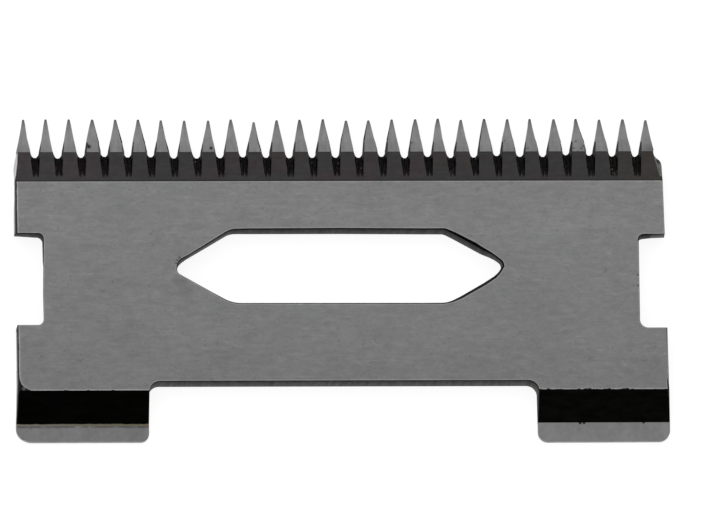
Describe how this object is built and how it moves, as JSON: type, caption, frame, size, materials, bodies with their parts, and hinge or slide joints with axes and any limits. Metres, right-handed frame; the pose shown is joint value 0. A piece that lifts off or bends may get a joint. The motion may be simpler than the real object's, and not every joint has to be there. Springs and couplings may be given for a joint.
{
  "type": "hair clipper moving blade",
  "caption": "Flat steel hair clipper cutter with a row of pointed teeth, a long drive slot, side notches and two stepped rear feet.",
  "frame": {"origin": "on the sliding face, under the middle of the plate's overall width and length", "axes": "+X along the row of teeth, +Y towards the tooth tips, +Z out of the bevelled face, so the blade lies on its sliding face"},
  "size_m": [0.0398, 0.02, 0.0015],
  "materials": {
    "blade_steel": "hardened carbon steel, ground on its faces and tooth tips, black heat scale left on the bevel, the foot slopes and the cut edges"
  },
  "bodies": {
    "root": {"cutter_blade": "blade_steel"}
  },
  "joints": []
}
